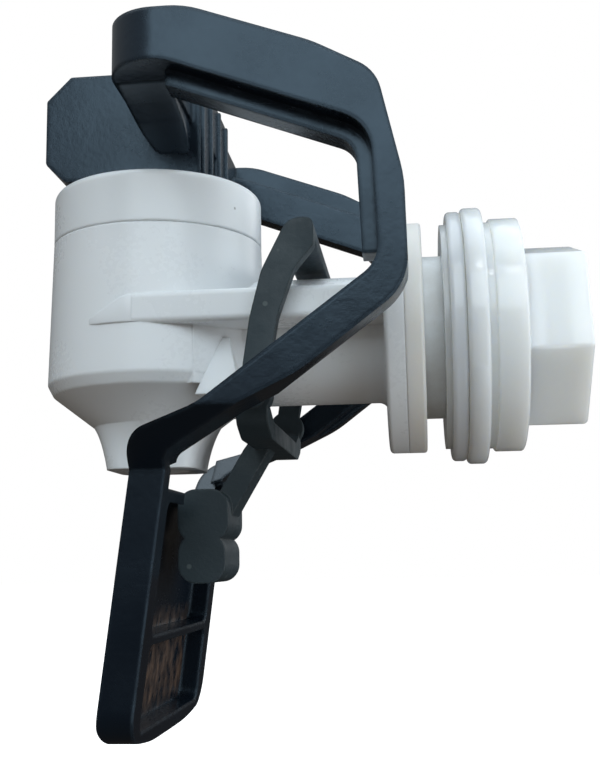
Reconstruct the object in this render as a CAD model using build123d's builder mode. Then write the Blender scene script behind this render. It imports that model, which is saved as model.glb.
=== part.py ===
from build123d import *
import os
from math import cos, radians, sin, tan

# Push-lever spigot for a beverage dispenser, in millimetres.
# X = 0 is the panel face of the flange seal, +X runs into the dispenser along the inlet,
# Z = 0 is the inlet axis, and the nozzle points down. Both sides of Y = 0 are alike.

# Barrel and nozzle of the valve body
reach = 44.2
barrel_top_r = 17.4
barrel_low_r = 18.0
seam_z = 16.8
seam_edge = 0.3
barrel_low_z = -6.8
shoulder_in = 0.9
shoulder_drop = 1.7
cone_low_r = 10.4
cone_low_z = -13.6
nozzle_half = 7.3
nozzle_corner = 3.0
nozzle_swell = 1.3
nozzle_ease = 2.0
outlet_z = -20.7
outlet_r = 5.3
chamber_r = 12.5
chamber_floor_z = -8.0
seat_r = 6.6
seat_z = -6.5
cap_bore_r = 14.6
ledge_z = 9.0

# Inlet arm, flange and shank
tube_r = 10.4
inlet_r = 7.6
web_margin = 0.7
flange_t = 3.1
flange_edge = 0.7
flange_root = 1.6
seal_t = 2.9
seal_edge = 0.5
web_low_z = 0.4
web_t = 5.0
web_fair = 9.0
web_edge = 0.9
cheek_low_z = -8.6
cheek_angle = 30.0
cheek_room = 3.8
cheek_half = 5.7
shank_r = 13.22
shank_len = 14.2
shank_edge = 0.6
gap_for_panel = 3.0
pip_r = 0.7
pip_in = 24.7
pip_half = 9.7
pip_drop = 1.2

# Bonnet cap
cap_top_z = 25.5
cap_edge = 1.3
cap_wall = 5.3
spring_pocket_r = 8.6
gasket_t = 1.2

# Stem, its seals and its spring
stem_r = 3.0
stem_fit = 0.06
stem_low_z = -3.6
stem_foot_r = 4.6
stem_foot_t = 1.4
collar_r = 4.4
collar_z = 1.6
collar_t = 1.2
neck_up = 3.2
tongue_w = 7.0
tongue_t = 5.8
tongue_top = 4.0
tongue_round = 2.8
cup_r = 8.4
cup_h = 6.4
cup_lip_h = 1.9
cup_bell_h = 4.2
cup_neck_r = 5.8
ring_section_r = 1.15
washer_t = 1.2
wire_r = 0.6
coil_r = 6.0
coil_turns = 6.0

# Lever, with lengths in X counted from the barrel axis up to the loop's rear
pin_r = 1.5
pin_z = 34.0
pin_cover = 3.2
arm_half_top = 35.0
arm_half_low = 25.0
arm_depth = 8.0
arm_wall = 3.6
arm_flare_z = (-22.5, -14.7)
arm_edge = 0.9
lip_drop = 2.3
lip_low_z = 6.0
band_rise = 4.4
band_start = 3.0
bar_front = -0.5
bar_back = 8.2
bar_low_z = 34.8
bar_top_z = 42.6
bar_corner = 7.5
head_front = -16.0
head_back = 9.5
head_half = 12.0
head_top_z = 43.5
head_clear = 0.15
head_chamfer = 4.0
head_edge = 0.6
heel_in = 3.2
heel_up = 3.0
slot_fit = 0.3
slot_half_x = 5.0
slot_up = 5.4
slot_roof = 1.0
panel_room = 2.0
knee_rear = (7.2, -20.3)
knee_front = (2.3, -17.9)
paddle_lean_deg = 7.3
paddle_low_z = -62.0
foot_rise = 2.0
paddle_top_z = -25.0
paddle_skin = 1.8
paddle_rim = 4.5
paddle_sill = 2.7
paddle_corner = 5.0
paddle_blend = 6.0
pocket_corner = 1.8
rib_z = -46.5
rib_t = 1.3
notch_half = 10.0
notch_deep = 3.6

# Safety catch: a loop round the inlet arm with a thumb knob behind the paddle
pivot_in = 19.0
pivot_z = -11.7
boss_r = 3.0
trunnion_r = 1.3
trunnion_bite = 2.6
shoulder_r = 2.1
shoulder_gap = 0.3
catch_t = 2.4
catch_edge = 0.5
web_clear = 1.5
leg_w = 3.8
leg_front = ((-0.2, -0.4), (1.6, 6.6))
leg_rear = ((3.9, -0.4), (6.4, 6.6))
bridge_x = (5.6, 9.4)
bridge_top_z = 14.4
bridge_t = 2.8
bridge_drop = 1.4
strap_room = 4.6
strap_t = 2.8
strap_w = 4.6
strap_corner = 5.0
strap_shoulder = 2.0
stalk_w = 4.2
stalk_half = 3.5
knob_half = 7.0
knob_corner = 2.8
lobe_high = (-10.2, -28.3, 8.0, 8.2)
lobe_low = (-10.4, -35.0, 7.4, 7.6)
running_fit = 0.05
face_gap = 0.05

# Rear washer and lock nut, inside the dispenser
washer_collar_r = 18.2
washer_collar_t = 0.9
washer_rim_r = 20.2
washer_rim_t = 2.4
nut_rim_r = 20.7
nut_rim_t = 3.2
nut_groove_r = 18.3
nut_groove_t = 1.2
nut_ring_r = 18.8
nut_ring_t = 4.6
ring_edge = 0.4
rim_edge = 0.7
hex_across = 27.0
hex_len = 9.8
hex_turn = -19.0
hex_edge = 0.8
nut_bore_r = 8.5

barrel_x = -reach
flange_r = barrel_low_r + web_margin
flange_front_x = -(seal_t + flange_t)
web_half = flange_r
web_fair_y = (barrel_top_r ** 2 - web_fair ** 2) ** 0.5
spigot_low_z = ledge_z + gasket_t
pocket_top_z = cap_top_z - cap_wall


def upright(x):
    """Plane with its normal along +X at x, its own x axis along +Y."""
    return Plane(origin=(x, 0, 0), x_dir=(0, 1, 0), z_dir=(1, 0, 0))


def side(y):
    """Plane facing the near side (-Y) at y, its own axes along +X and +Z."""
    return Plane(origin=(0, y, 0), x_dir=(1, 0, 0), z_dir=(0, -1, 0))


def finish(piece, name):
    piece.part.label = name
    export_step(piece.part, f"parts/{name}.step")


os.makedirs("parts", exist_ok=True)

# Flat web that runs along both sides of the inlet arm and fairs into the barrel
with BuildPart() as web:
    with BuildSketch(Plane.XY.offset(web_low_z)):
        with BuildLine():
            Polyline(
                (flange_front_x + flange_t / 2, -web_half + flange_edge),
                (barrel_x, -web_half + flange_edge),
                (barrel_x - web_fair, -web_fair_y),
                (barrel_x - web_fair, web_fair_y),
                (barrel_x, web_half - flange_edge),
                (flange_front_x + flange_t / 2, web_half - flange_edge),
                close=True,
            )
        make_face()
    extrude(amount=web_t)
    fillet(web.faces().sort_by(Axis.Z)[-1].edges(), radius=web_edge)
    fillet(web.faces().sort_by(Axis.Z)[0].edges(), radius=web_edge)

# Valve body: barrel and cone turned about the barrel axis, nozzle lofted, inlet arm turned
barrel_axis = Axis((barrel_x, 0, 0), (0, 0, 1))
with BuildPart() as valve_body:
    with BuildSketch(Plane.XZ):
        with BuildLine():
            FilletPolyline(
                (barrel_x, seam_z),
                (barrel_x + barrel_top_r, seam_z),
                (barrel_x + barrel_low_r, barrel_low_z),
                (barrel_x + barrel_low_r - shoulder_in, barrel_low_z - shoulder_drop),
                (barrel_x + cone_low_r, cone_low_z),
                (barrel_x, cone_low_z),
                radius=(0, seam_edge, shoulder_in, shoulder_in, 0, 0),
                close=True,
            )
        make_face()
    revolve(axis=barrel_axis)
    # Nozzle: the round foot of the cone runs into a rounded square
    with BuildSketch(Plane.XY.offset(cone_low_z)):
        with Locations((barrel_x, 0)):
            RectangleRounded(2 * cone_low_r, 2 * cone_low_r, cone_low_r * 0.98)
    with BuildSketch(Plane.XY.offset((2 * cone_low_z + outlet_z) / 3)):
        with Locations((barrel_x, 0)):
            RectangleRounded(2 * (nozzle_half + nozzle_swell), 2 * (nozzle_half + nozzle_swell),
                             nozzle_corner + nozzle_ease)
    with BuildSketch(Plane.XY.offset(outlet_z)):
        with Locations((barrel_x, 0)):
            RectangleRounded(2 * nozzle_half, 2 * nozzle_half, nozzle_corner)
    loft()
    # Inlet tube, flange and shank in one turned form
    with BuildSketch(Plane.XZ):
        with BuildLine():
            FilletPolyline(
                (barrel_x, 0),
                (barrel_x, tube_r),
                (flange_front_x, tube_r),
                (flange_front_x, flange_r),
                (-seal_t, flange_r),
                (-seal_t, shank_r),
                (shank_len, shank_r),
                (shank_len, 0),
                radius=(0, 0, flange_root, flange_edge, 0, 0, shank_edge, 0),
                close=True,
            )
        make_face()
    revolve(axis=Axis.X)
    add(web.part)
    # Cheeks that fair the barrel into the tube below the web
    with BuildSketch(Plane.XY.offset(cheek_low_z)):
        with BuildLine():
            Polyline(
                (barrel_x, -tube_r),
                (barrel_x + barrel_low_r * sin(radians(cheek_angle)),
                 -barrel_low_r * cos(radians(cheek_angle))),
                (barrel_x + barrel_low_r + cheek_room, -cheek_half),
                (barrel_x + barrel_low_r + cheek_room, cheek_half),
                (barrel_x + barrel_low_r * sin(radians(cheek_angle)),
                 barrel_low_r * cos(radians(cheek_angle))),
                (barrel_x, tube_r),
                close=True,
            )
        make_face()
    extrude(amount=web_low_z + web_t / 2 - cheek_low_z)
    # Small moulded pips on the tube's sides, just below the web
    for near in (-1, 1):
        with Locations((barrel_x + pip_in, near * pip_half, web_low_z - pip_drop)):
            Sphere(pip_r)
    # Chamber, cap bore, seat ring, outlet and inlet
    with BuildSketch(Plane.XY.offset(chamber_floor_z)):
        with Locations((barrel_x, 0)):
            Circle(chamber_r)
    extrude(amount=seam_z - chamber_floor_z, mode=Mode.SUBTRACT)
    with BuildSketch(Plane.XY.offset(ledge_z)):
        with Locations((barrel_x, 0)):
            Circle(cap_bore_r)
    extrude(amount=seam_z - ledge_z, mode=Mode.SUBTRACT)
    with BuildSketch(Plane.XY.offset(chamber_floor_z)):
        with Locations((barrel_x, 0)):
            Circle(seat_r)
    extrude(amount=seat_z - chamber_floor_z)
    with BuildSketch(Plane.XY.offset(outlet_z)):
        with Locations((barrel_x, 0)):
            Circle(outlet_r)
    extrude(amount=seat_z - outlet_z, mode=Mode.SUBTRACT)
    with BuildSketch(upright(barrel_x + chamber_r / 2)):
        Circle(inlet_r)
    extrude(amount=shank_len - barrel_x - chamber_r / 2, mode=Mode.SUBTRACT)
finish(valve_body, "valve_body")

# Bonnet cap: flush with the barrel, its spigot screws into the body and holds the spring
gland_r = stem_r + 2 * ring_section_r + stem_fit
gland_top_z = pocket_top_z + 2 * ring_section_r
with BuildPart() as bonnet_cap:
    with BuildSketch(Plane.XZ):
        with BuildLine():
            FilletPolyline(
                (barrel_x + stem_r + stem_fit, cap_top_z),
                (barrel_x + barrel_top_r, cap_top_z),
                (barrel_x + barrel_top_r, seam_z),
                (barrel_x + cap_bore_r - face_gap, seam_z),
                (barrel_x + cap_bore_r - face_gap, spigot_low_z),
                (barrel_x + spring_pocket_r, spigot_low_z),
                (barrel_x + spring_pocket_r, pocket_top_z),
                (barrel_x + gland_r, pocket_top_z),
                (barrel_x + gland_r, gland_top_z),
                (barrel_x + stem_r + stem_fit, gland_top_z),
                radius=(0, cap_edge, seam_edge, 0, 0, 0, 0, 0, 0, 0),
                close=True,
            )
        make_face()
    revolve(axis=barrel_axis)
finish(bonnet_cap, "bonnet_cap")

# Flat ring that seals the cap's spigot on the ledge in the body
with BuildPart() as bonnet_gasket:
    with BuildSketch(Plane.XY.offset(ledge_z)):
        with Locations((barrel_x, 0)):
            Circle(cap_bore_r - face_gap)
            Circle(chamber_r, mode=Mode.SUBTRACT)
    extrude(amount=gasket_t)
finish(bonnet_gasket, "bonnet_gasket")

# Round sealing ring in the cap's gland
ring_z = pocket_top_z + ring_section_r
with BuildPart() as stem_ring:
    with BuildSketch(Plane.XZ):
        with Locations((barrel_x + stem_r + stem_fit + ring_section_r, ring_z)):
            Circle(ring_section_r)
    revolve(axis=barrel_axis)
finish(stem_ring, "stem_ring")

# Plain washer that keeps the ring in its gland and takes the spring's upper end
with BuildPart() as gland_washer:
    with BuildSketch(Plane.XY.offset(pocket_top_z - washer_t)):
        with Locations((barrel_x, 0)):
            Circle(spring_pocket_r - 2 * running_fit)
            Circle(stem_r + stem_fit, mode=Mode.SUBTRACT)
    extrude(amount=washer_t)
finish(gland_washer, "gland_washer")

# Stem: round rod with a foot in the seat cup, a collar for the spring and a tongue for the pin
tongue_low_z = cap_top_z + neck_up
with BuildPart() as valve_stem:
    with BuildSketch(Plane.XY.offset(stem_low_z)):
        with Locations((barrel_x, 0)):
            Circle(stem_r)
    extrude(amount=tongue_low_z - stem_low_z)
    with BuildSketch(Plane.XY.offset(stem_low_z)):
        with Locations((barrel_x, 0)):
            Circle(stem_foot_r)
    extrude(amount=stem_foot_t)
    with BuildSketch(Plane.XY.offset(collar_z)):
        with Locations((barrel_x, 0)):
            Circle(collar_r)
    extrude(amount=collar_t)
    with BuildSketch(side(-tongue_t / 2)):
        with BuildLine():
            FilletPolyline(
                (barrel_x - tongue_w / 2, tongue_low_z),
                (barrel_x + tongue_w / 2, tongue_low_z),
                (barrel_x + tongue_w / 2, pin_z + tongue_top),
                (barrel_x - tongue_w / 2, pin_z + tongue_top),
                radius=(0, 0, tongue_round, tongue_round),
                close=True,
            )
        make_face()
        with Locations((barrel_x, pin_z)):
            Circle(pin_r + running_fit, mode=Mode.SUBTRACT)
    extrude(amount=-tongue_t)
finish(valve_stem, "valve_stem")

# Seat cup: soft bell on the stem's foot, closes on the raised seat ring
foot_top_z = stem_low_z + stem_foot_t
with BuildPart() as seat_cup:
    with BuildSketch(Plane.XZ):
        with BuildLine():
            Polyline(
                (barrel_x, seat_z + face_gap),
                (barrel_x + cup_r, seat_z + face_gap),
                (barrel_x + cup_r, seat_z + cup_lip_h),
                (barrel_x + cup_neck_r, seat_z + cup_bell_h),
                (barrel_x + cup_neck_r, seat_z + cup_h),
                (barrel_x + stem_r + face_gap, seat_z + cup_h),
                (barrel_x + stem_r + face_gap, foot_top_z + face_gap),
                (barrel_x + stem_foot_r + face_gap, foot_top_z + face_gap),
                (barrel_x + stem_foot_r + face_gap, stem_low_z - face_gap),
                (barrel_x, stem_low_z - face_gap),
                close=True,
            )
        make_face()
    revolve(axis=barrel_axis)
finish(seat_cup, "seat_cup")

# Washer on the stem's collar, under the spring
spring_low_z = collar_z + collar_t + washer_t
with BuildPart() as spring_washer:
    with BuildSketch(Plane.XY.offset(collar_z + collar_t)):
        with Locations((barrel_x, 0)):
            Circle(coil_r + 2 * wire_r)
            Circle(stem_r + face_gap, mode=Mode.SUBTRACT)
    extrude(amount=washer_t)
finish(spring_washer, "spring_washer")

# Closing spring between the two washers
spring_high_z = pocket_top_z - washer_t
coil_low_z = spring_low_z + wire_r + face_gap
coil_high_z = spring_high_z - wire_r - face_gap
coil_pitch = (coil_high_z - coil_low_z) / coil_turns
with BuildPart() as return_spring:
    with BuildLine() as coil:
        Helix(coil_pitch, coil_high_z - coil_low_z, coil_r, center=(barrel_x, 0, coil_low_z))
    with BuildSketch(Plane(origin=coil.line @ 0, z_dir=coil.line % 0)):
        Circle(wire_r)
    sweep()
finish(return_spring, "return_spring")

# Lever pin: pushed in from the far cheek, blind in the near one
pin_near_y = -(head_half - pin_cover)
with BuildPart() as lever_pin:
    with BuildSketch(side(pin_near_y)):
        with Locations((barrel_x, pin_z)):
            Circle(pin_r)
    extrude(amount=-(head_half - pin_near_y))
finish(lever_pin, "lever_pin")

# Lever outline seen from the near side: arm and paddle wall in one bent band
bar_front_x = barrel_x + bar_front
bar_back_x = barrel_x + bar_back
head_front_x = barrel_x + head_front
head_back_x = barrel_x + head_back
paddle_lean = tan(radians(paddle_lean_deg))


def paddle_x(knee, z):
    """X of the paddle's front or rear line at a height."""
    return barrel_x + knee[0] + paddle_lean * (z - knee[1])


arm_outline = (
    ((bar_front_x, bar_low_z), 1.0),
    ((bar_front_x, bar_top_z), 4.5),
    ((barrel_x + 11.6, bar_top_z), 14.0),
    ((barrel_x + 29.7, 35.9), 20.0),
    ((-panel_room - 3.6, 31.0), 6.0),
    ((-panel_room - 0.2, 15.5), 20.0),
    ((-panel_room, 0.6), 8.0),
    ((barrel_x + 27.2, -10.7), 20.0),
    ((barrel_x + knee_rear[0], knee_rear[1]), 2.5),
    ((paddle_x(knee_rear, paddle_low_z), paddle_low_z), 0.9),
    ((paddle_x(knee_front, paddle_low_z), paddle_low_z), 3.8),
    ((barrel_x + knee_front[0], knee_front[1]), 5.0),
    ((barrel_x + 13.2, -14.6), 8.0),
    ((-panel_room - 3.9, 3.9), 5.0),
    ((-panel_room - 4.6, 23.6), 6.0),
    ((bar_back_x, bar_low_z), 10.0),
)
arm_points = [corner for corner, radius in arm_outline]
arm_radii = [radius for corner, radius in arm_outline]


def front_strips(depth_from, depth_to, foot):
    """Front view of both arms between two depths from their outer faces, with given foot points."""
    with BuildSketch(upright(head_front_x)) as strips:
        for near in (-1, 1):
            with BuildLine():
                Polyline(
                    (near * (arm_half_low - depth_from), foot[0][1]),
                    (near * (arm_half_low - depth_from), arm_flare_z[0]),
                    (near * (arm_half_top - depth_from), arm_flare_z[1]),
                    (near * (arm_half_top - depth_from), 2 * bar_top_z),
                    (near * (arm_half_top - depth_to), 2 * bar_top_z),
                    (near * (arm_half_top - depth_to), arm_flare_z[1]),
                    (near * (arm_half_low - depth_to), arm_flare_z[0]),
                    *((near * (arm_half_low - depth), z) for depth, z in reversed(foot)),
                    close=True,
                )
            make_face()
    return strips.sketch


# Arms: the side outline cut to the outer wall of the front view
arm_foot_z = paddle_top_z - paddle_blend
with BuildPart() as arms:
    with BuildSketch(side(0)):
        with BuildLine():
            FilletPolyline(*arm_points, radius=arm_radii, close=True)
        make_face()
    extrude(amount=arm_half_top, both=True)
    extrude(front_strips(0, arm_wall, ((0, arm_foot_z), (arm_wall, arm_foot_z))),
            amount=-2 * head_front_x, mode=Mode.INTERSECT)

# Inner band along the loop side of each arm, with a lip that stands proud into the loop
with BuildSketch(side(0)) as loop_window:
    with BuildLine():
        FilletPolyline(
            (head_front_x, bar_low_z),
            *reversed(arm_points[11:]),
            (head_front_x, knee_front[1]),
            radius=(0, *reversed(arm_radii[11:]), 0),
            close=True,
        )
    make_face()
with BuildSketch(side(0)) as lip_outline:
    add(loop_window.sketch_local)
    offset(loop_window.sketch_local, amount=-lip_drop, mode=Mode.SUBTRACT)
    with Locations((bar_back_x, lip_low_z)):
        Rectangle(reach, bar_top_z, align=(Align.MIN, Align.MIN), mode=Mode.INTERSECT)
with BuildSketch(side(0)) as band_outline:
    with BuildLine():
        FilletPolyline(*arm_points, radius=arm_radii, close=True)
    make_face()
    offset(loop_window.sketch_local, amount=band_rise, mode=Mode.INTERSECT)
    with Locations((bar_back_x, 0)):
        Rectangle(reach, 2 * bar_top_z, align=(Align.MAX, Align.MIN), mode=Mode.SUBTRACT)
    with Locations((barrel_x + knee_front[0] + band_start, 0)):
        Rectangle(reach, 4 * bar_top_z, align=(Align.MAX, Align.CENTER), mode=Mode.SUBTRACT)
    add(lip_outline.sketch_local)
with BuildPart() as bands:
    extrude(band_outline.sketch, amount=arm_half_top, both=True)
    band_foot = ((arm_wall, arm_foot_z), (paddle_rim, arm_foot_z), (arm_depth, paddle_top_z))
    extrude(front_strips(arm_wall, arm_depth, band_foot), amount=-2 * head_front_x,
            mode=Mode.INTERSECT)

# Paddle: a shallow tray, open to the rear, with a cross rib and a notch for the catch's knob
paddle_mid_z = (paddle_low_z + paddle_top_z) / 2
lean = radians(paddle_lean_deg)
rear_plane = Plane(
    origin=(paddle_x(knee_rear, paddle_mid_z), 0, paddle_mid_z),
    x_dir=(0, 1, 0),
    z_dir=(cos(lean), 0, -sin(lean)),
)
paddle_deep = (paddle_x(knee_rear, 0) - paddle_x(knee_front, 0)) * cos(lean)
paddle_tall = (paddle_top_z - paddle_low_z) / cos(lean)
rib_up = (rib_z - paddle_mid_z) / cos(lean)
low_room = rib_up + paddle_tall / 2 - paddle_sill - rib_t / 2
high_room = paddle_tall / 2 - rib_up - rib_t / 2 - paddle_skin
with BuildPart() as paddle:
    with BuildSketch(side(0)):
        with BuildLine():
            FilletPolyline(
                (paddle_x(knee_front, paddle_top_z), paddle_top_z),
                (paddle_x(knee_rear, paddle_top_z), paddle_top_z),
                arm_points[9],
                arm_points[10],
                radius=(0, 0, arm_radii[9], arm_radii[10]),
                close=True,
            )
        make_face()
    extrude(amount=arm_half_low, both=True)
    with BuildSketch(rear_plane):
        with Locations((0, -paddle_tall / 2 + paddle_sill + low_room / 2)):
            RectangleRounded(2 * (arm_half_low - paddle_rim), low_room, pocket_corner)
        with Locations((0, paddle_tall / 2 - paddle_skin - high_room / 2)):
            RectangleRounded(2 * (arm_half_low - paddle_rim), high_room, pocket_corner)
        with Locations((0, paddle_tall / 2)):
            Rectangle(2 * notch_half, 2 * notch_deep)
    extrude(amount=-(paddle_deep - paddle_skin), mode=Mode.SUBTRACT)
    # Bowed lower edge with rounded corners
    with BuildSketch(upright(head_front_x)) as front:
        with BuildLine():
            bow = ThreePointArc(
                (-arm_half_low, paddle_low_z + foot_rise),
                (0, paddle_low_z),
                (arm_half_low, paddle_low_z + foot_rise),
            )
            Polyline(
                bow @ 1,
                (arm_half_low, paddle_top_z + foot_rise),
                (-arm_half_low, paddle_top_z + foot_rise),
                bow @ 0,
            )
        make_face()
        fillet(front.vertices().sort_by(Axis.Y)[:2], radius=paddle_corner)
    extrude(amount=-head_front_x, mode=Mode.INTERSECT)

# Cross-bar between the arms, over the barrel, rounded at its outer ends
bar_t = bar_top_z - bar_low_z
with BuildPart() as cross_bar:
    with BuildSketch(Plane.XY.offset(bar_low_z)):
        with Locations((bar_front_x, 0)):
            Rectangle(bar_back - bar_front, 2 * arm_half_top, align=(Align.MIN, Align.CENTER))
    extrude(amount=bar_t)
with BuildPart() as bar_ends:
    with BuildSketch(Plane.XY.offset(bar_low_z)) as plan:
        with Locations((bar_front_x, 0)):
            Rectangle(reach, 2 * arm_half_top, align=(Align.MIN, Align.CENTER))
        fillet(plan.vertices().sort_by(Axis.X)[:2], radius=bar_corner)
    extrude(amount=2 * bar_top_z, both=True)

slot_half = tongue_t / 2 + slot_fit
arm_inner_y = arm_half_top - arm_depth
head_low_z = cap_top_z + head_clear
with BuildPart() as lever:
    add(arms.part)
    add(bands.part)
    add(cross_bar.part)
    add(bar_ends.part, mode=Mode.INTERSECT)
    add(paddle.part)
    # Head block with its heel on the cap
    with BuildSketch(side(0)):
        with BuildLine():
            FilletPolyline(
                (head_front_x, head_low_z + heel_up),
                (head_front_x + heel_in, head_low_z),
                (head_back_x, head_low_z),
                (head_back_x, head_top_z),
                (head_front_x + head_chamfer, head_top_z),
                (head_front_x, head_top_z - head_chamfer),
                radius=(2 * head_edge, head_edge, head_edge, head_edge, head_edge, head_edge),
                close=True,
            )
        make_face()
    extrude(amount=head_half, both=True)
    # Slot for the stem's tongue, open below and to the rear
    with BuildSketch(side(0)):
        with Locations((barrel_x, head_low_z)):
            Rectangle(2 * slot_half_x, pin_z + slot_up - head_low_z,
                      align=(Align.CENTER, Align.MIN))
        with Locations((barrel_x, head_low_z)):
            Rectangle(reach, bar_low_z - head_low_z - slot_roof,
                      align=(Align.MIN, Align.MIN))
    extrude(amount=slot_half, both=True, mode=Mode.SUBTRACT)
    with BuildSketch(side(pin_near_y)):
        with Locations((barrel_x, pin_z)):
            Circle(pin_r)
    extrude(amount=-(head_half - pin_near_y), mode=Mode.SUBTRACT)
    # Blind sockets for the catch's trunnions
    pivot_x = barrel_x + pivot_in
    with BuildSketch(side(0)):
        with Locations((pivot_x, pivot_z)):
            Circle(trunnion_r + running_fit)
    extrude(amount=arm_inner_y + trunnion_bite, both=True, mode=Mode.SUBTRACT)
finish(lever, "lever")

# Safety catch: one moulding, two legs, a bridge over the web, a strap under the tube, a knob
leg_inner_y = web_half + web_clear
leg_outer_y = leg_inner_y + catch_t
strap_top_z = -tube_r - strap_room
strap_low_z = strap_top_z - strap_t
with BuildPart() as safety_catch:
    with BuildSketch(side(0)):
        with BuildLine():
            FilletPolyline(
                (pivot_x - leg_w / 2, pivot_z),
                (pivot_x + leg_w / 2, pivot_z),
                (pivot_x + leg_rear[0][0], leg_rear[0][1]),
                (pivot_x + leg_rear[1][0], leg_rear[1][1]),
                (pivot_x + bridge_x[1], bridge_top_z - bridge_t - bridge_drop),
                (pivot_x + bridge_x[1], bridge_top_z),
                (pivot_x + bridge_x[0], bridge_top_z),
                (pivot_x + leg_front[1][0], leg_front[1][1]),
                (pivot_x + leg_front[0][0], leg_front[0][1]),
                radius=(0, 0, 6, 4, 1, 1.2, 3, 8, 8),
                close=True,
            )
        make_face()
        with Locations((pivot_x, pivot_z)):
            Circle(boss_r)
    extrude(amount=leg_outer_y, both=True)
    # Open the inside between the legs, under the bridge
    with BuildSketch(upright(barrel_x)):
        with Locations((0, bridge_top_z - bridge_t)):
            RectangleRounded(2 * leg_inner_y, reach, 2 * catch_edge,
                             align=(Align.CENTER, Align.MAX))
    extrude(amount=reach, mode=Mode.SUBTRACT)
    # Strap under the tube
    with BuildSketch(upright(pivot_x - strap_w / 2)):
        with BuildLine():
            FilletPolyline(
                (-leg_outer_y, pivot_z + strap_shoulder),
                (-leg_outer_y, strap_low_z + strap_shoulder),
                (-leg_outer_y + strap_corner, strap_low_z),
                (leg_outer_y - strap_corner, strap_low_z),
                (leg_outer_y, strap_low_z + strap_shoulder),
                (leg_outer_y, pivot_z + strap_shoulder),
                (leg_inner_y, pivot_z + strap_shoulder),
                (leg_inner_y, strap_top_z + strap_shoulder),
                (leg_inner_y - strap_corner, strap_top_z),
                (-leg_inner_y + strap_corner, strap_top_z),
                (-leg_inner_y, strap_top_z + strap_shoulder),
                (-leg_inner_y, pivot_z + strap_shoulder),
                radius=(0, 2, 5, 5, 2, 0, 0, 1, 4, 4, 1, 0),
                close=True,
            )
        make_face()
    extrude(amount=strap_w)
    # Stalk and lobed knob behind the paddle
    stalk_foot_x = pivot_x + lobe_high[0] + lobe_high[2] / 2
    with BuildSketch(side(0)):
        with BuildLine():
            Polyline(
                (pivot_x, strap_top_z),
                (pivot_x, strap_low_z),
                (stalk_foot_x, lobe_high[1]),
                (stalk_foot_x - stalk_w, lobe_high[1]),
                (pivot_x - stalk_w, strap_low_z),
                (pivot_x - stalk_w / 2, strap_top_z),
                close=True,
            )
        make_face()
    extrude(amount=stalk_half, both=True)
    with BuildSketch(side(0)):
        for in_x, up_z, wide, high in (lobe_high, lobe_low):
            with Locations((pivot_x + in_x, up_z)):
                RectangleRounded(wide, high, knob_corner)
    extrude(amount=knob_half, both=True)
    # Shouldered trunnions that snap into the lever's arms
    for near in (-1, 1):
        with BuildSketch(side(near * leg_inner_y)):
            with Locations((pivot_x, pivot_z)):
                Circle(shoulder_r)
        extrude(amount=-near * (arm_inner_y - shoulder_gap - leg_inner_y))
        with BuildSketch(side(near * leg_inner_y)):
            with Locations((pivot_x, pivot_z)):
                Circle(trunnion_r)
        extrude(amount=-near * (arm_inner_y + trunnion_bite - shoulder_gap - leg_inner_y))
finish(safety_catch, "safety_catch")

# Flat seal behind the flange, its outer edge rounded
with BuildPart() as panel_seal:
    with BuildSketch(Plane.XZ):
        with BuildLine():
            FilletPolyline(
                (-seal_t, shank_r + face_gap),
                (-seal_t, flange_r),
                (0, flange_r),
                (0, shank_r + face_gap),
                radius=(0, 0, seal_edge, 0),
                close=True,
            )
        make_face()
    revolve(axis=Axis.X)
finish(panel_seal, "panel_seal")

# Rear washer with a short collar towards the panel
washer_x = gap_for_panel
washer_rim_x = washer_x + washer_collar_t
nut_x = washer_rim_x + washer_rim_t
with BuildPart() as rear_washer:
    with BuildSketch(Plane.XZ):
        with BuildLine():
            FilletPolyline(
                (washer_x, shank_r + running_fit),
                (washer_x, washer_collar_r),
                (washer_rim_x, washer_collar_r),
                (washer_rim_x, washer_rim_r),
                (nut_x, washer_rim_r),
                (nut_x, shank_r + running_fit),
                radius=(0, 0, 0, rim_edge, rim_edge, 0),
                close=True,
            )
        make_face()
    revolve(axis=Axis.X)
finish(rear_washer, "rear_washer")

# Lock nut: two turned rings round the thread and a hexagon end with a smaller water way
groove_x = nut_x + nut_rim_t
ring_x = groove_x + nut_groove_t
hex_x = ring_x + nut_ring_t
hex_end_x = hex_x + hex_len
with BuildPart() as lock_nut:
    with BuildSketch(upright(hex_x)) as hexagon:
        RegularPolygon(hex_across / 2, 6, major_radius=False, rotation=hex_turn)
        fillet(hexagon.vertices(), radius=hex_edge)
    extrude(amount=hex_len)
    fillet(lock_nut.faces().sort_by(Axis.X)[-1].edges(), radius=hex_edge)
    with BuildSketch(Plane.XZ):
        with BuildLine():
            FilletPolyline(
                (nut_x, 0),
                (nut_x, nut_rim_r),
                (groove_x, nut_rim_r),
                (groove_x, nut_groove_r),
                (ring_x, nut_groove_r),
                (ring_x, nut_ring_r),
                (hex_x, nut_ring_r),
                (hex_x, 0),
                radius=(0, rim_edge, rim_edge, 0, 0, ring_edge, ring_edge, 0),
                close=True,
            )
        make_face()
    revolve(axis=Axis.X)
    with BuildSketch(upright(nut_x)):
        Circle(shank_r + running_fit)
    extrude(amount=shank_len + running_fit - nut_x, mode=Mode.SUBTRACT)
    with BuildSketch(upright(nut_x)):
        Circle(nut_bore_r)
    extrude(amount=hex_end_x - nut_x, mode=Mode.SUBTRACT)
finish(lock_nut, "lock_nut")
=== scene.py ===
"""Looks of a push-lever spigot for a beverage dispenser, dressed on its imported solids."""
import math

import bpy
from mathutils import Matrix, Vector


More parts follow.
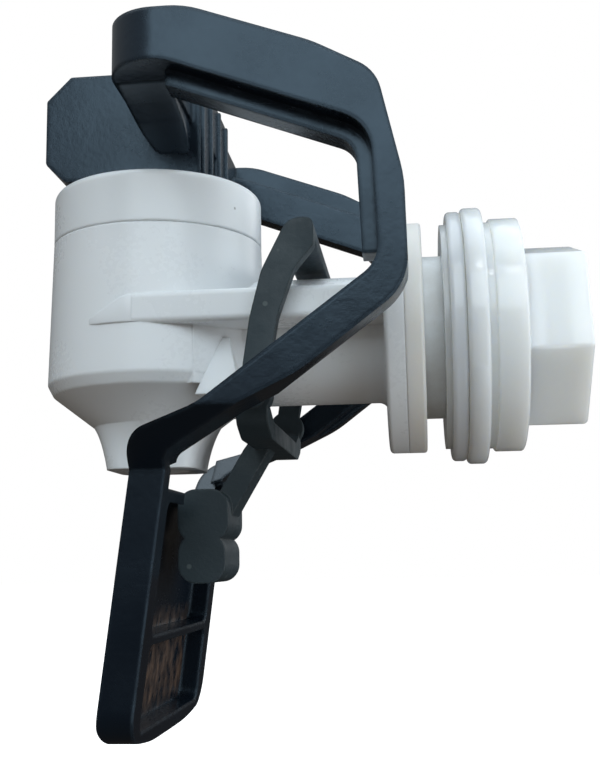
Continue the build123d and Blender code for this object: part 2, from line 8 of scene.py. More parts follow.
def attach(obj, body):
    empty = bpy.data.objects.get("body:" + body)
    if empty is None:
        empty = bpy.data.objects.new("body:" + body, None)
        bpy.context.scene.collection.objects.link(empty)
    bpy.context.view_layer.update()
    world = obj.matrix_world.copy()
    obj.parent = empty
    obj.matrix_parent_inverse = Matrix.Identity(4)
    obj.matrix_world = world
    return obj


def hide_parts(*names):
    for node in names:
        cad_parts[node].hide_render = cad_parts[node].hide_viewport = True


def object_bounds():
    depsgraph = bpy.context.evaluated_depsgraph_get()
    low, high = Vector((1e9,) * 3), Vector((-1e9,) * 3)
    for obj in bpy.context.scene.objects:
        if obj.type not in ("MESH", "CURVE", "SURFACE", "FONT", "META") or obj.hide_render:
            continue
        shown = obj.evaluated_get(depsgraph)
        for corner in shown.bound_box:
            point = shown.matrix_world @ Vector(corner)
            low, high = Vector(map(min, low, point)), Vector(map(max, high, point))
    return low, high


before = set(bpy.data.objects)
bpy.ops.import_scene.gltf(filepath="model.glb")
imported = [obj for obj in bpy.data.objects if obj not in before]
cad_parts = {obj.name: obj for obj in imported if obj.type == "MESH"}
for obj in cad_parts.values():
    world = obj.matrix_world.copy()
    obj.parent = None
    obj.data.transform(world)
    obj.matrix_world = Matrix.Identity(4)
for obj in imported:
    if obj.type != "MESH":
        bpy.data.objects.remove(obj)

solid_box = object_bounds()

# Valve body: one white moulding with barrel, nozzle, webbed inlet arm, flange and threaded shank.
# Injection-moulded, glossy, faintly blue where the window light falls on it, with brown painted
# shade in the corners under the web.


def new_group(name, inputs, outputs):
    """Shader node group with named sockets, and its two ends."""
    tree = bpy.data.node_groups.new(name, "ShaderNodeTree")
    for label, kind, value in inputs:
        socket = tree.interface.new_socket(label, in_out="INPUT", socket_type=kind)
        socket.default_value = value
    for label, kind in outputs:
        tree.interface.new_socket(label, in_out="OUTPUT", socket_type=kind)
    return tree, tree.nodes.new("NodeGroupInput"), tree.nodes.new("NodeGroupOutput")


def put(tree, kind, wires=None, **settings):
    """Node with its settings, its sockets set to a value or wired to another node's socket."""
    node = tree.nodes.new(kind)
    for label, value in settings.items():
        setattr(node, label, value)
    for socket, value in (wires or {}).items():
        if isinstance(value, bpy.types.NodeSocket):
            tree.links.new(value, node.inputs[socket])
        else:
            node.inputs[socket].default_value = value
    return node


def sum_of(tree, operation, first, second=0.0, third=0.0):
    """Output of one Math node."""
    wires = {0: first, 1: second, 2: third}
    return put(tree, "ShaderNodeMath", wires, operation=operation).outputs[0]


def blend_of(tree, share, low, high):
    """Colour between two others, by a share from 0 to 1."""
    wires = {0: share, 6: low, 7: high}
    return put(tree, "ShaderNodeMix", wires, data_type="RGBA").outputs[2]


def lay_over(tree, shade, colour, mask, share):
    """Colour laid over a shade where a mask says, and there at most by a share."""
    return blend_of(tree, sum_of(tree, "MULTIPLY", mask, share), shade, colour)


def span_of(tree, value, start, stop, low=0.0, high=1.0):
    """Value carried from one span to another and held at its ends."""
    wires = {0: value, 1: start, 2: stop, 3: low, 4: high}
    return put(tree, "ShaderNodeMapRange", wires).outputs[0]


def place_of(tree):
    """Place on the piece, in metres."""
    return put(tree, "ShaderNodeTexCoord").outputs["Object"]


def noise_of(tree, place, scale, detail, roughness=0.5):
    """Noise round a half, at a place."""
    wires = {"Vector": place, "Scale": scale, "Detail": detail, "Roughness": roughness}
    return put(tree, "ShaderNodeTexNoise", wires).outputs[0]


# Grain of a moulded skin: fine orange peel, wide waves of sink, and slow drift in the shade
drift_scale = 38.0
sink_height = 3.0
peel_dull = 0.4
grain, grain_in, grain_out = new_group(
    "moulded grain",
    [("Peel", "NodeSocketFloat", 1500.0), ("Sink", "NodeSocketFloat", 90.0)],
    [("Height", "NodeSocketFloat"), ("Drift", "NodeSocketFloat"), ("Dull", "NodeSocketFloat")],
)
place = place_of(grain)
peel = noise_of(grain, place, grain_in.outputs["Peel"], detail=3.0, roughness=0.55)
sink = noise_of(grain, place, grain_in.outputs["Sink"], detail=2.0, roughness=0.4)
drift = noise_of(grain, place, drift_scale, detail=3.0)
height = sum_of(grain, "MULTIPLY_ADD", sink, sink_height, peel)
dull = sum_of(grain, "MULTIPLY_ADD", peel, peel_dull, sink)
grain.links.new(height, grain_out.inputs["Height"])
grain.links.new(span_of(grain, drift, 0.35, 0.65), grain_out.inputs["Drift"])
grain.links.new(span_of(grain, dull, 0.5, 0.9), grain_out.inputs["Dull"])

# Rubbed edges, and on the lever painted edge highlights: where a rounded normal leaves the true
# one, broken up by noise
rub_and_sheen, rub_and_sheen_in, rub_and_sheen_out = new_group(
    "rubbed edge and painted sheen",
    [("Width", "NodeSocketFloat", 0.0005), ("Patches", "NodeSocketFloat", 400.0)],
    [("Mask", "NodeSocketFloat"), ("Round", "NodeSocketVector")],
)
soft = put(rub_and_sheen, "ShaderNodeBevel", {"Radius": rub_and_sheen_in.outputs["Width"]}, samples=4)
true = put(rub_and_sheen, "ShaderNodeNewGeometry")
turn = put(rub_and_sheen, "ShaderNodeVectorMath", {0: soft.outputs[0], 1: true.outputs["Normal"]},
           operation="DOT_PRODUCT")
patches = noise_of(rub_and_sheen, place_of(rub_and_sheen), rub_and_sheen_in.outputs["Patches"], detail=4.0)
turned = span_of(rub_and_sheen, turn.outputs["Value"], 0.995, 0.86)
patch = span_of(rub_and_sheen, patches, 0.38, 0.62, low=0.15)
rub_and_sheen.links.new(sum_of(rub_and_sheen, "MULTIPLY", turned, patch), rub_and_sheen_out.inputs["Mask"])
rub_and_sheen.links.new(soft.outputs[0], rub_and_sheen_out.inputs["Round"])

# Mask of corners from ambient occlusion, thinned out by noise: dust and bloom on dark parts,
# painted shade on pale ones
grime_and_shade, grime_and_shade_in, grime_and_shade_out = new_group(
    "corner grime and painted shade",
    [("Reach", "NodeSocketFloat", 0.003), ("Spots", "NodeSocketFloat", 250.0)],
    [("Mask", "NodeSocketFloat")],
)
corner = put(grime_and_shade, "ShaderNodeAmbientOcclusion", {"Distance": grime_and_shade_in.outputs["Reach"]},
             samples=6)
spots = noise_of(grime_and_shade, place_of(grime_and_shade), grime_and_shade_in.outputs["Spots"], detail=5.0, roughness=0.6)
deep = span_of(grime_and_shade, corner.outputs["AO"], 0.75, 0.25)
thin = span_of(grime_and_shade, spots, 0.35, 0.65, low=0.1)
grime_and_shade.links.new(sum_of(grime_and_shade, "MULTIPLY", deep, thin), grime_and_shade_out.inputs["Mask"])


def new_finish(name):
    """Node material, with its tree and its shader."""
    material = bpy.data.materials.new(name)
    material.use_nodes = True
    return material, material.node_tree, material.node_tree.nodes["Principled BSDF"]


def let_light_in(shader, share, radius, depth):
    """Lets light sink a little way into a pale moulding."""
    shader.inputs["Subsurface Weight"].default_value = share
    shader.inputs["Subsurface Radius"].default_value = radius
    shader.inputs["Subsurface Scale"].default_value = depth


def use(tree, group, **values):
    """One of the shared groups in a material, with that material's own values."""
    node = tree.nodes.new("ShaderNodeGroup")
    node.node_tree = group
    for label, value in values.items():
        node.inputs[label].default_value = value
    return node


def dullness_of(tree, skin, low, high):
    """Roughness that changes with the grain between two values."""
    return span_of(tree, skin.outputs["Dull"], 0.0, 1.0, low, high)


def finish_skin(tree, shader, shade, dullness, height, depth, edges=None):
    """Wires colour, roughness and bump into a shader, over softened edges where they are given."""
    tree.links.new(shade, shader.inputs["Base Color"])
    tree.links.new(dullness, shader.inputs["Roughness"])
    wires = {"Height": height, "Distance": depth, "Strength": 1.0}
    if edges is not None:
        wires["Normal"] = edges.outputs["Round"]
    tree.links.new(put(tree, "ShaderNodeBump", wires).outputs[0], shader.inputs["Normal"])


def dress(node, material):
    """Gives a solid of the frame its finish."""
    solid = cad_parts[node]
    solid.data.materials.clear()
    solid.data.materials.append(material)


body_white, tree, shader = new_finish("glossy white body")
let_light_in(shader, share=0.12, radius=(1.0, 0.85, 0.7), depth=0.002)
body_shades = (0.800, 0.832, 0.858, 1), (0.818, 0.848, 0.872, 1)
body_corner_shade = (0.42, 0.36, 0.29, 1)
skin = use(tree, grain, Peel=1300.0, Sink=70.0)
edges = use(tree, rub_and_sheen, Width=0.0004, Patches=300.0)
corner_shade = use(tree, grime_and_shade, Reach=0.004, Spots=220.0)
shade = blend_of(tree, skin.outputs["Drift"], *body_shades)
# Brown painted shade laid into the corners, where the skin is also a little rougher
shade = lay_over(tree, shade, body_corner_shade, corner_shade.outputs["Mask"], share=0.45)
dullness = dullness_of(tree, skin, 0.26, 0.32)
dullness = sum_of(tree, "MULTIPLY_ADD", corner_shade.outputs["Mask"], 0.3, dullness)
# Pipe thread on the shank under the nut, cut in the skin alone: 14 threads to the inch
thread_pitch = 0.001814
thread_from_x = 0.0031
thread_depth = 0.0012
shank_reach = 0.01335
shank_root = 0.0125
peel_share = 0.003
along, side, up = put(tree, "ShaderNodeSeparateXYZ", {0: place_of(tree)}).outputs
off_axis = sum_of(tree, "SQRT", sum_of(tree, "MULTIPLY_ADD", side, side,
                                       sum_of(tree, "MULTIPLY", up, up)))
round_share = sum_of(tree, "DIVIDE", sum_of(tree, "ARCTAN2", up, side), 2 * math.pi)
phase = sum_of(tree, "FRACT", sum_of(tree, "MULTIPLY_ADD", along, 1 / thread_pitch, round_share))
ridge = sum_of(tree, "PINGPONG", phase, 0.5)
on_shank = sum_of(tree, "MULTIPLY", sum_of(tree, "LESS_THAN", off_axis, shank_reach),
                  sum_of(tree, "GREATER_THAN", off_axis, shank_root))
on_shank = sum_of(tree, "MULTIPLY", on_shank, sum_of(tree, "GREATER_THAN", along, thread_from_x))
peel_height = sum_of(tree, "MULTIPLY", skin.outputs["Height"], peel_share)
height = sum_of(tree, "ADD", sum_of(tree, "MULTIPLY", ridge, on_shank), peel_height)
finish_skin(tree, shader, shade, dullness, height, depth=thread_depth, edges=edges)
dress("valve_body", body_white)

# Fairings of the same moulding. The web's front end runs out in a thin tail along the barrel, and
# below the web a gusset with a flat bright face joins the barrel's shoulder to the inlet tube.


def draw_out(name, way, plates):
    """Solid drawn out from plate to plate along one way: each plate has a centre and a size."""
    at_end = 1e-7
    centre, size = plates[0]
    bpy.ops.object.select_all(action="DESELECT")
    bpy.ops.mesh.primitive_cube_add(size=1.0, location=centre, scale=size)
    piece = bpy.context.object
    piece.name = name
    bpy.ops.object.transform_apply(location=True, rotation=True, scale=True)
    bpy.ops.object.mode_set(mode="EDIT")
    bpy.ops.mesh.select_mode(type="FACE")
    onward = 1 if plates[1][0][way] > centre[way] else -1
    for next_centre, next_size in plates[1:]:
        bpy.ops.mesh.select_all(action="DESELECT")
        bpy.ops.object.mode_set(mode="OBJECT")
        points = piece.data.vertices
        end = max(onward * point.co[way] for point in points)
        for face in piece.data.polygons:
            face.select = all(onward * points[i].co[way] > end - at_end for i in face.vertices)
        bpy.ops.object.mode_set(mode="EDIT")
        step = [after - before for after, before in zip(next_centre, centre)]
        step[way] = next_centre[way] - onward * end
        bpy.ops.mesh.extrude_region_move(TRANSFORM_OT_translate={"value": step})
        widen = [after / before for after, before in zip(next_size, size)]
        widen[way] = 1.0
        bpy.ops.transform.resize(value=widen, center_override=next_centre)
        centre, size = next_centre, next_size
    bpy.ops.mesh.select_all(action="SELECT")
    bpy.ops.mesh.normals_make_consistent(inside=False)
    bpy.ops.object.mode_set(mode="OBJECT")
    return piece


def pull(piece, by, chosen):
    """Moves the points of a piece that a test picks."""
    bpy.ops.object.mode_set(mode="EDIT")
    bpy.ops.mesh.select_mode(type="VERT")
    bpy.ops.mesh.select_all(action="DESELECT")
    bpy.ops.object.mode_set(mode="OBJECT")
    for point in piece.data.vertices:
        point.select = chosen(point.co)
    bpy.ops.object.mode_set(mode="EDIT")
    bpy.ops.transform.translate(value=by)
    bpy.ops.object.mode_set(mode="OBJECT")


def round_off(piece, width, material, body):
    """Rounds a piece's edges, smooths it and makes it part of a moulding that a body carries."""
    rounding = piece.modifiers.new("rounding", "BEVEL")
    rounding.width = width
    rounding.segments = 3
    rounding.limit_method = "ANGLE"
    rounding.angle_limit = math.radians(25)
    bpy.ops.object.modifier_apply(modifier="rounding")
    bpy.ops.object.shade_smooth_by_angle(angle=math.radians(45))
    piece.data.materials.append(material)
    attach(piece, body)


plate_t = 0.0002
fairing_round = 0.0004
tail_low_z = 0.0007
tail_depth = 0.0020
# Along the tail: place on the arm's length, reach out from the axis, height of the tail
tail_run = ((-0.0420, 0.01770, 0.0036), (-0.0436, 0.01790, 0.0043), (-0.0448, 0.01799, 0.0044),
            (-0.0460, 0.01795, 0.0040), (-0.0474, 0.01777, 0.0032), (-0.0489, 0.01745, 0.0023),
            (-0.0502, 0.01695, 0.0016), (-0.0514, 0.01625, 0.0010))
# Down the gusset: height, its two ends on the arm's length, reach out from the axis, and root
gusset_run = ((-0.0013, -0.0312, -0.0300, 0.0126, 0.0090),
              (-0.0035, -0.0322, -0.0296, 0.0133, 0.0085),
              (-0.0068, -0.0336, -0.0288, 0.0144, 0.0070),
              (-0.0104, -0.0350, -0.0280, 0.0153, 0.0060))
for name, hand in (("near", -1), ("far", 1)):
    tail = draw_out("web_tail_" + name, 0, [
        ((x, hand * (out - tail_depth / 2), tail_low_z + tall / 2),
         (plate_t, tail_depth, tall)) for x, out, tall in tail_run])
    round_off(tail, fairing_round, body_white, "housing")
    gusset = draw_out("gusset_" + name, 2, [
        (((front + back) / 2, hand * (out + root) / 2, z),
         (back - front, out - root, plate_t)) for z, front, back, out, root in gusset_run])
    round_off(gusset, fairing_round, body_white, "housing")

# Bonnet cap: a white cap screwed in flush with the barrel, its seam visible all round.
# Same moulding material as the body, a touch greyer, with one dark speck in the plastic and
# brown painted shade in its corners.
cap_white, tree, shader = new_finish("glossy white cap")
let_light_in(shader, share=0.12, radius=(1.0, 0.85, 0.7), depth=0.002)
cap_shades = (0.795, 0.830, 0.858, 1), (0.812, 0.845, 0.870, 1)
cap_corner_shade = (0.40, 0.36, 0.31, 1)
speck_dark = (0.08, 0.07, 0.06, 1)
speck_at = (-0.0294, -0.0095, 0.0206)
speck_size = 0.00035
skin = use(tree, grain, Peel=1300.0, Sink=60.0)
edges = use(tree, rub_and_sheen, Width=0.0004, Patches=300.0)
corner_shade = use(tree, grime_and_shade, Reach=0.0025, Spots=260.0)
shade = blend_of(tree, skin.outputs["Drift"], *cap_shades)
# Brown painted shade in the cap's corners
shade = lay_over(tree, shade, cap_corner_shade, corner_shade.outputs["Mask"], share=0.35)
away = put(tree, "ShaderNodeVectorMath", {0: place_of(tree), 1: speck_at}, operation="DISTANCE")
speck = span_of(tree, away.outputs["Value"], speck_size, speck_size * 0.5, high=0.8)
shade = blend_of(tree, speck, shade, speck_dark)
dullness = dullness_of(tree, skin, 0.27, 0.33)
finish_skin(tree, shader, shade, dullness, skin.outputs["Height"], depth=0.0000035, edges=edges)
dress("bonnet_cap", cap_white)

# Seals of the valve: the sealing ring round the stem and the seat cup on the stem's foot.
# Pressed from soft dark rubber, dull, with a little bloom, and held by their own squeeze.
rubber, tree, shader = new_finish("dark seal rubber")
rubber_shades = (0.012, 0.012, 0.012, 1), (0.03, 0.03, 0.03, 1)
rubber_bloom = (0.12, 0.12, 0.11, 1)
skin = use(tree, grain, Peel=2600.0, Sink=300.0)
dust = use(tree, grime_and_shade, Reach=0.0015, Spots=900.0)
shade = blend_of(tree, skin.outputs["Drift"], *rubber_shades)
shade = lay_over(tree, shade, rubber_bloom, dust.outputs["Mask"], share=0.5)
dullness = dullness_of(tree, skin, 0.5, 0.75)
finish_skin(tree, shader, shade, dullness, skin.outputs["Height"], depth=0.00002)
for node in ("stem_ring", "seat_cup"):
    dress(node, rubber)

# Stem with its washers: a rod with foot, collar and tongue, turned from natural plastic that is
# slightly yellow. It slides in the cap's gland and hangs on the lever's pin; a flat washer of the
# same plastic lies on its collar, another under the gland.
natural, tree, shader = new_finish("natural stem plastic")
natural_shades = (0.62, 0.60, 0.53, 1), (0.70, 0.69, 0.64, 1)
natural_rubbed = (0.80, 0.80, 0.77, 1)
skin = use(tree, grain, Peel=1800.0, Sink=200.0)
edges = use(tree, rub_and_sheen, Width=0.0002, Patches=700.0)
shade = blend_of(tree, skin.outputs["Drift"], *natural_shades)
shade = lay_over(tree, shade, natural_rubbed, edges.outputs["Mask"], share=0.4)
dullness = dullness_of(tree, skin, 0.32, 0.5)
finish_skin(tree, shader, shade, dullness, skin.outputs["Height"], depth=0.00002, edges=edges)
for node in ("valve_stem", "spring_washer", "gland_washer"):
    dress(node, natural)

# Return spring and lever pin: a coil of drawn stainless wire squeezed between the two washers,
# and a ground rod pushed through the lever's head and the stem's tongue.
steel, tree, shader = new_finish("drawn stainless steel")
shader.inputs["Metallic"].default_value = 1.0
steel_shades = (0.48, 0.48, 0.48, 1), (0.60, 0.60, 0.59, 1)
steel_rubbed = (0.75, 0.75, 0.74, 1)
skin = use(tree, grain, Peel=3000.0, Sink=500.0)
edges = use(tree, rub_and_sheen, Width=0.00015, Patches=900.0)
shade = blend_of(tree, skin.outputs["Drift"], *steel_shades)
shade = lay_over(tree, shade, steel_rubbed, edges.outputs["Mask"], share=0.5)
dullness = dullness_of(tree, skin, 0.22, 0.42)
finish_skin(tree, shader, shade, dullness, skin.outputs["Height"], depth=0.000015)
for node in ("return_spring", "lever_pin"):
    dress(node, steel)

# Lever: one blue-black moulding, head, cross-bar, hooped arms and paddle tray. Satin skin with
# hair scratches, rubbed edges with painted bluish highlights, dust in its corners and brown
# scuffed dirt in the tray's pockets.
lever_black, tree, shader = new_finish("satin blue-black lever")
shader.inputs["Specular Tint"].default_value = (0.62, 0.82, 1.0, 1)
lever_shades = (0.0032, 0.0058, 0.0105, 1), (0.0050, 0.0088, 0.0150, 1)
lever_rubbed_and_highlit = (0.036, 0.055, 0.075, 1)
lever_dust = (0.05, 0.048, 0.044, 1)
lever_scratched = (0.05, 0.06, 0.07, 1)
tray_brown = (0.100, 0.052, 0.025, 1)
skin = use(tree, grain, Peel=1100.0, Sink=120.0)
edges = use(tree, rub_and_sheen, Width=0.0009, Patches=420.0)
dust = use(tree, grime_and_shade, Reach=0.0035, Spots=500.0)
shade = blend_of(tree, skin.outputs["Drift"], *lever_shades)
# Wide bluish edges: wear and a painted highlight along them
shade = lay_over(tree, shade, lever_rubbed_and_highlit, edges.outputs["Mask"], share=0.55)
shade = lay_over(tree, shade, lever_dust, dust.outputs["Mask"], share=0.12)
# Hair scratches: noise drawn out along the arms
arm_lean = math.radians(38)
place = place_of(tree)
drawn = put(tree, "ShaderNodeMapping", {"Vector": place, "Rotation": (0, arm_lean, 0),
                                        "Scale": (60, 1500, 1900)})
hairs = noise_of(tree, drawn.outputs[0], 1.0, detail=4.0)
scratch = span_of(tree, hairs, 0.68, 0.76)
shade = lay_over(tree, shade, lever_scratched, scratch, share=0.15)
# Brown dirt on the tray's floor, in blotches drawn out upwards: only below the knob, where it rubs
tray_low = -0.0585
tray_high = -0.0430
tray_floor_x = -0.03779
tray_lean = 0.1281
floor_slack = 0.0005
fade_out = 0.001
fade_in = 0.002
spot = put(tree, "ShaderNodeSeparateXYZ", {0: place}).outputs
skin_normal = put(tree, "ShaderNodeNewGeometry").outputs["Normal"]
facing = put(tree, "ShaderNodeSeparateXYZ", {0: skin_normal}).outputs
looks_back = span_of(tree, facing["X"], 0.75, 0.95)
above_low = span_of(tree, spot["Z"], tray_low - fade_out, tray_low + fade_in)
below_high = span_of(tree, spot["Z"], tray_high - fade_in, tray_high + fade_out, 1.0, 0.0)
in_height = sum_of(tree, "MULTIPLY", above_low, below_high)
from_floor = sum_of(tree, "MULTIPLY_ADD", spot["Z"], -tray_lean, spot["X"])
on_floor = sum_of(tree, "LESS_THAN", from_floor, tray_floor_x + floor_slack)
streak_place = put(tree, "ShaderNodeMapping", {"Vector": place, "Scale": (300, 400, 270)})
streaks = noise_of(tree, streak_place.outputs[0], 1.0, detail=6.0, roughness=0.65)
smear = span_of(tree, streaks, 0.40, 0.66)
muck = sum_of(tree, "MULTIPLY", sum_of(tree, "MULTIPLY", in_height, on_floor),
              sum_of(tree, "MULTIPLY", looks_back, smear))
shade = lay_over(tree, shade, tray_brown, muck, share=0.85)
dullness = dullness_of(tree, skin, 0.20, 0.29)
dullness = sum_of(tree, "MULTIPLY_ADD", muck, 0.4, dullness)
dullness = sum_of(tree, "MULTIPLY_ADD", scratch, 0.04, dullness)
height = sum_of(tree, "MULTIPLY_ADD", muck, 3.0, skin.outputs["Height"])
finish_skin(tree, shader, shade, dullness, height, depth=0.000022, edges=edges)
dress("lever", lever_black)

# Curved webs under the cross-bar and thin upright ribs on the head's rear, of the same moulding.
# A web starts thin near its arm, deepens towards the head's side and runs down along it; the ribs
# stiffen the head on both sides of the slot for the stem.
bar_front = -0.0443
bar_back = -0.0364
web_top_z = 0.0362
web_plate_t = 0.0004
web_round = 0.0005
at_point = 0.0001
# Along a web: place across, lowest height, and how far its lower front edge leans back
web_run = ((0.0275, 0.0346, 0.0), (0.0215, 0.0337, 0.0), (0.0170, 0.0329, 0.0002),
           (0.0145, 0.0317, 0.0008), (0.0128, 0.0302, 0.0019), (0.0116, 0.0290, 0.0032))
head_back = -0.0347
rib_proud = 0.0006
rib_sunk = 0.0004
rib_round = 0.0002
# Up a rib: height, and width there
rib_run = ((0.0262, 0.0007), (0.0310, 0.0007), (0.0425, 0.00091))
for name, hand in (("near", -1), ("far", 1)):
    web = draw_out("bar_web_" + name, 1, [
        (((bar_front + bar_back) / 2, hand * y, (web_top_z + low) / 2),
         (bar_back - bar_front, web_plate_t, web_top_z - low)) for y, low, lean in web_run])
    for y, low, lean in web_run:
        if lean:
            pull(web, (lean, 0, 0), lambda point: (
                abs(abs(point.y) - y) < at_point and point.z < low + at_point
                and point.x < bar_front + at_point))
    round_off(web, web_round, lever_black, "lever")
    for place_name, y in (("edge", 0.0108), ("slot", 0.0038)):
        rib = draw_out("head_rib_" + place_name + "_" + name, 2, [
            ((head_back + (rib_proud - rib_sunk) / 2, hand * y, z),
             (rib_proud + rib_sunk, wide, plate_t)) for z, wide in rib_run])
        round_off(rib, rib_round, lever_black, "lever")

# Safety catch: a flexible dark moulding, loop and lobed thumb knob, snapped into the lever's arms.
# Dull, greener than the lever, with rubbed edges and a few pale nicks.
catch_black, tree, shader = new_finish("dull green-black catch")
catch_shades = (0.016, 0.029, 0.037, 1), (0.023, 0.040, 0.050, 1)
catch_rubbed = (0.10, 0.12, 0.12, 1)
catch_dust = (0.09, 0.075, 0.055, 1)
catch_nicked = (0.12, 0.15, 0.15, 1)
skin = use(tree, grain, Peel=1700.0, Sink=220.0)
edges = use(tree, rub_and_sheen, Width=0.0004, Patches=500.0)
dust = use(tree, grime_and_shade, Reach=0.003, Spots=600.0)
shade = blend_of(tree, skin.outputs["Drift"], *catch_shades)
shade = lay_over(tree, shade, catch_rubbed, edges.outputs["Mask"], share=0.4)
shade = lay_over(tree, shade, catch_dust, dust.outputs["Mask"], share=0.2)
nicks = put(tree, "ShaderNodeTexVoronoi", {"Vector": place_of(tree), "Scale": 210.0})
nick = span_of(tree, nicks.outputs["Distance"], 0.10, 0.06, high=0.5)
shade = blend_of(tree, nick, shade, catch_nicked)
dullness = dullness_of(tree, skin, 0.45, 0.65)
finish_skin(tree, shader, shade, dullness, skin.outputs["Height"], depth=0.00003, edges=edges)
dress("safety_catch", catch_black)

# Flange seal and bonnet gasket: milky soft rings, warmer than the hard parts and a little matt,
# with brown painted shade in their corners.
# The lock nut squeezes the seal against the panel, the cap squeezes the gasket on its ledge.
milky, tree, shader = new_finish("milky seal")
let_light_in(shader, share=0.4, radius=(1.0, 0.8, 0.6), depth=0.003)
milky_shades = (0.77, 0.76, 0.73, 1), (0.81, 0.80, 0.77, 1)
milky_corner_shade = (0.40, 0.33, 0.25, 1)
skin = use(tree, grain, Peel=1500.0, Sink=120.0)
edges = use(tree, rub_and_sheen, Width=0.0004, Patches=400.0)
corner_shade = use(tree, grime_and_shade, Reach=0.003, Spots=300.0)
shade = blend_of(tree, skin.outputs["Drift"], *milky_shades)
# Brown painted shade in the rings' corners
shade = lay_over(tree, shade, milky_corner_shade, corner_shade.outputs["Mask"], share=0.4)
dullness = dullness_of(tree, skin, 0.35, 0.5)
finish_skin(tree, shader, shade, dullness, skin.outputs["Height"], depth=0.00002, edges=edges)
for node in ("panel_seal", "bonnet_gasket"):
    dress(node, milky)

# Rear washer and lock nut: milky, slightly see-through mouldings with shiny rounded rims.
# The nut screws on the shank and clamps the dispenser's panel; painted shade greys its grooves.
nut_white, tree, shader = new_finish("milky white nut")
let_light_in(shader, share=0.9, radius=(1.0, 0.9, 0.75), depth=0.009)
nut_shades = (0.76, 0.79, 0.80, 1), (0.80, 0.82, 0.82, 1)
nut_groove_shade = (0.50, 0.47, 0.39, 1)
skin = use(tree, grain, Peel=1200.0, Sink=80.0)
edges = use(tree, rub_and_sheen, Width=0.0005, Patches=300.0)
corner_shade = use(tree, grime_and_shade, Reach=0.0025, Spots=300.0)
shade = blend_of(tree, skin.outputs["Drift"], *nut_shades)
# Greyish brown painted shade in the grooves
shade = lay_over(tree, shade, nut_groove_shade, corner_shade.outputs["Mask"], share=0.35)
dullness = dullness_of(tree, skin, 0.12, 0.20)
finish_skin(tree, shader, shade, dullness, skin.outputs["Height"], depth=0.000016, edges=edges)
dress("rear_washer", nut_white)
dress("lock_nut", nut_white)

# Lock nut as it is screwed home: the same nut, turned on its thread until one corner of the
# hexagon points at the near side and slightly down, where the photograph shows it.
home_turn = math.radians(22.5)
bpy.ops.object.select_all(action="DESELECT")
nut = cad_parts["lock_nut"].copy()
nut.data = nut.data.copy()
nut.name = "lock_nut_home"
bpy.context.scene.collection.objects.link(nut)
nut.select_set(True)
bpy.context.view_layer.objects.active = nut
bpy.ops.object.mode_set(mode="EDIT")
bpy.ops.mesh.select_mode(type="VERT")
bpy.ops.mesh.select_all(action="SELECT")
bpy.ops.mesh.remove_doubles(threshold=0.000001)
bpy.ops.transform.rotate(value=home_turn, orient_axis="X", center_override=(0, 0, 0))
bpy.ops.object.mode_set(mode="OBJECT")
bpy.ops.object.shade_smooth_by_angle(angle=math.radians(30))
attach(nut, "housing")
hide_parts("lock_nut")

# Setting: a floor of pale paper, bright enough to show as white. It sends no bounce and no shadow
# back to the spigot, as if that were held well above it.
floor_drop = 0.045
bpy.ops.object.select_all(action="DESELECT")
bpy.ops.mesh.primitive_plane_add(size=8.0, location=(0, 0, solid_box[0].z - floor_drop))
floor = bpy.context.object
floor.name = "floor"
bpy.ops.object.transform_apply(location=True, rotation=True, scale=True)
paper, tree, shader = new_finish("pale paper")
paper_shades = (0.60, 0.60, 0.60, 1), (0.63, 0.63, 0.63, 1)
fibres = noise_of(tree, place_of(tree), 40.0, detail=4.0)
tree.links.new(blend_of(tree, fibres, *paper_shades), shader.inputs["Base Color"])
shader.inputs["Roughness"].default_value = 0.9
shader.inputs["Emission Color"].default_value = (1.0, 1.0, 1.0, 1)
shader.inputs["Emission Strength"].default_value = 0.90
floor.data.materials.append(paper)
floor.visible_diffuse = False
floor.visible_glossy = False
floor.visible_shadow = False

# Lights: a wide window over the camera, another on the right that reaches round the back, and
# soft bounce from wall and ceiling. A small bare lamp gives the sharp glints on rims and knob.
middle = (solid_box[0] + solid_box[1]) / 2


def soft_light(name, place, wide, tall, glow, colour):
    """Rectangular area light at a place, turned to face the spigot, with a given glow."""
    lamp = bpy.data.lights.new(name, "AREA")
    lamp.shape = "RECTANGLE"
    lamp.size = wide
    lamp.size_y = tall
    lamp.energy = glow * math.pi * wide * tall
    lamp.color = colour
    holder = bpy.data.objects.new(name, lamp)
    holder.location = place
    holder.rotation_euler = (middle - Vector(place)).to_track_quat("-Z", "Y").to_euler()
    holder.visible_camera = False
    bpy.context.scene.collection.objects.link(holder)


soft_light("window over the camera", place=(0.12, -0.83, 0.49), wide=1.0, tall=0.54,
           glow=2.75, colour=(0.80, 0.93, 1.0))
soft_light("window on the right", place=(0.90, 0.12, 0.22), wide=0.6, tall=0.6,
           glow=2.4, colour=(0.86, 0.95, 1.0))
soft_light("window behind on the right", place=(0.62, 0.72, 0.30), wide=0.45, tall=0.6,
           glow=1.7, colour=(0.92, 0.97, 1.0))
soft_light("wall on the right", place=(0.76, -0.38, -0.38), wide=0.7, tall=0.7,
           glow=1.6, colour=(0.90, 0.96, 1.0))
soft_light("ceiling", place=(-0.10, 0.10, 0.85), wide=0.7, tall=0.7,
           glow=1.8, colour=(0.84, 0.94, 1.0))
soft_light("lamp", place=(0.10, -0.50, 0.66), wide=0.06, tall=0.06,
           glow=26.0, colour=(0.95, 0.98, 1.0))

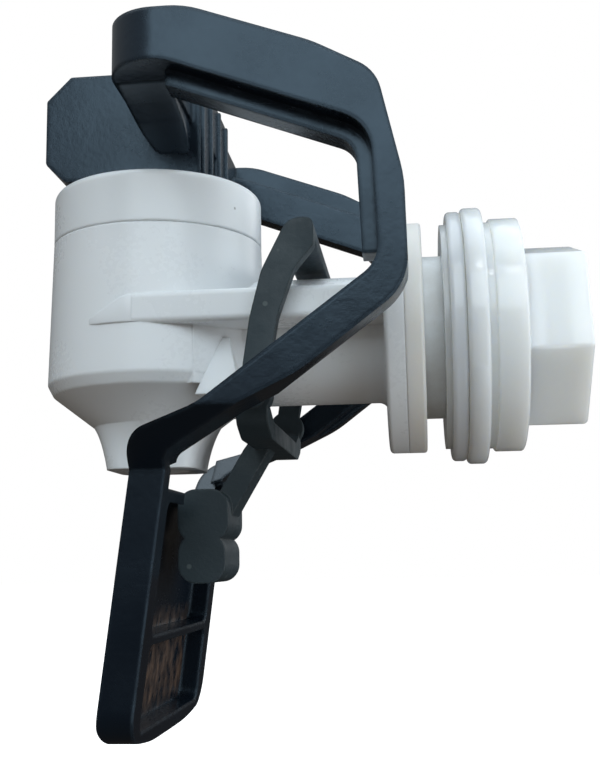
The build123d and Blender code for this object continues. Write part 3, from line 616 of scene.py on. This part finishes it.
# Room light: white where the camera looks past the part, else cool above, warm and dim below.
# It falls off behind the part and to its left, and mirrors dimmer from below than it lights.
glow_above = 0.72
glow_below = 0.22
mirrored_below = 0.08
cool = (0.88, 0.95, 1.0, 1)
warm = (1.0, 0.90, 0.80, 1)
white = (1.0, 1.0, 1.0, 1)
room = bpy.data.worlds.new("room")
room.use_nodes = True
tree = room.node_tree
background = tree.nodes["Background"]
all_round = put(tree, "ShaderNodeTexCoord").outputs["Generated"]
to_right, to_back, to_top = put(tree, "ShaderNodeSeparateXYZ", {0: all_round}).outputs
above = span_of(tree, to_top, -0.06, 0.5)
rays = put(tree, "ShaderNodeLightPath")
below = sum_of(tree, "MULTIPLY_ADD", rays.outputs["Is Glossy Ray"],
               mirrored_below - glow_below, glow_below)
glow = sum_of(tree, "MULTIPLY_ADD", above, sum_of(tree, "SUBTRACT", glow_above, below), below)
glow = sum_of(tree, "MULTIPLY", glow, span_of(tree, to_back, -0.2, 0.9, low=1.0, high=0.35))
glow = sum_of(tree, "MULTIPLY", glow, span_of(tree, to_right, -0.9, 0.3, low=0.7))
straight = rays.outputs["Is Camera Ray"]
tint = blend_of(tree, straight, blend_of(tree, above, warm, cool), white)
tree.links.new(tint, background.inputs["Color"])
tree.links.new(put(tree, "ShaderNodeMix", {0: straight, 2: glow, 3: 1.0}).outputs[0],
               background.inputs["Strength"])
bpy.context.scene.world = room
bpy.context.scene.view_settings.view_transform = "Standard"

# Camera: low on the near side, turned slightly to the left and up, as in the photograph. Its
# place, turns and lens come from a fit to the barrel, the nut's rings and the hexagon.
camera_place = Vector((-0.0018, -0.1788, -0.0357))
camera_turn = 0.104
camera_up = 0.163
camera_roll = -0.017
lens = bpy.data.cameras.new("camera")
lens.sensor_width = 36.0
lens.lens = 52.48
lens.clip_start = 0.005
camera = bpy.data.objects.new("camera", lens)
look = Matrix.Rotation(camera_turn, 4, "Z") @ Matrix.Rotation(math.pi / 2 + camera_up, 4, "X")
camera.matrix_world = (Matrix.Translation(camera_place) @ look
                       @ Matrix.Rotation(camera_roll, 4, "Z"))
bpy.context.scene.collection.objects.link(camera)
bpy.context.scene.camera = camera
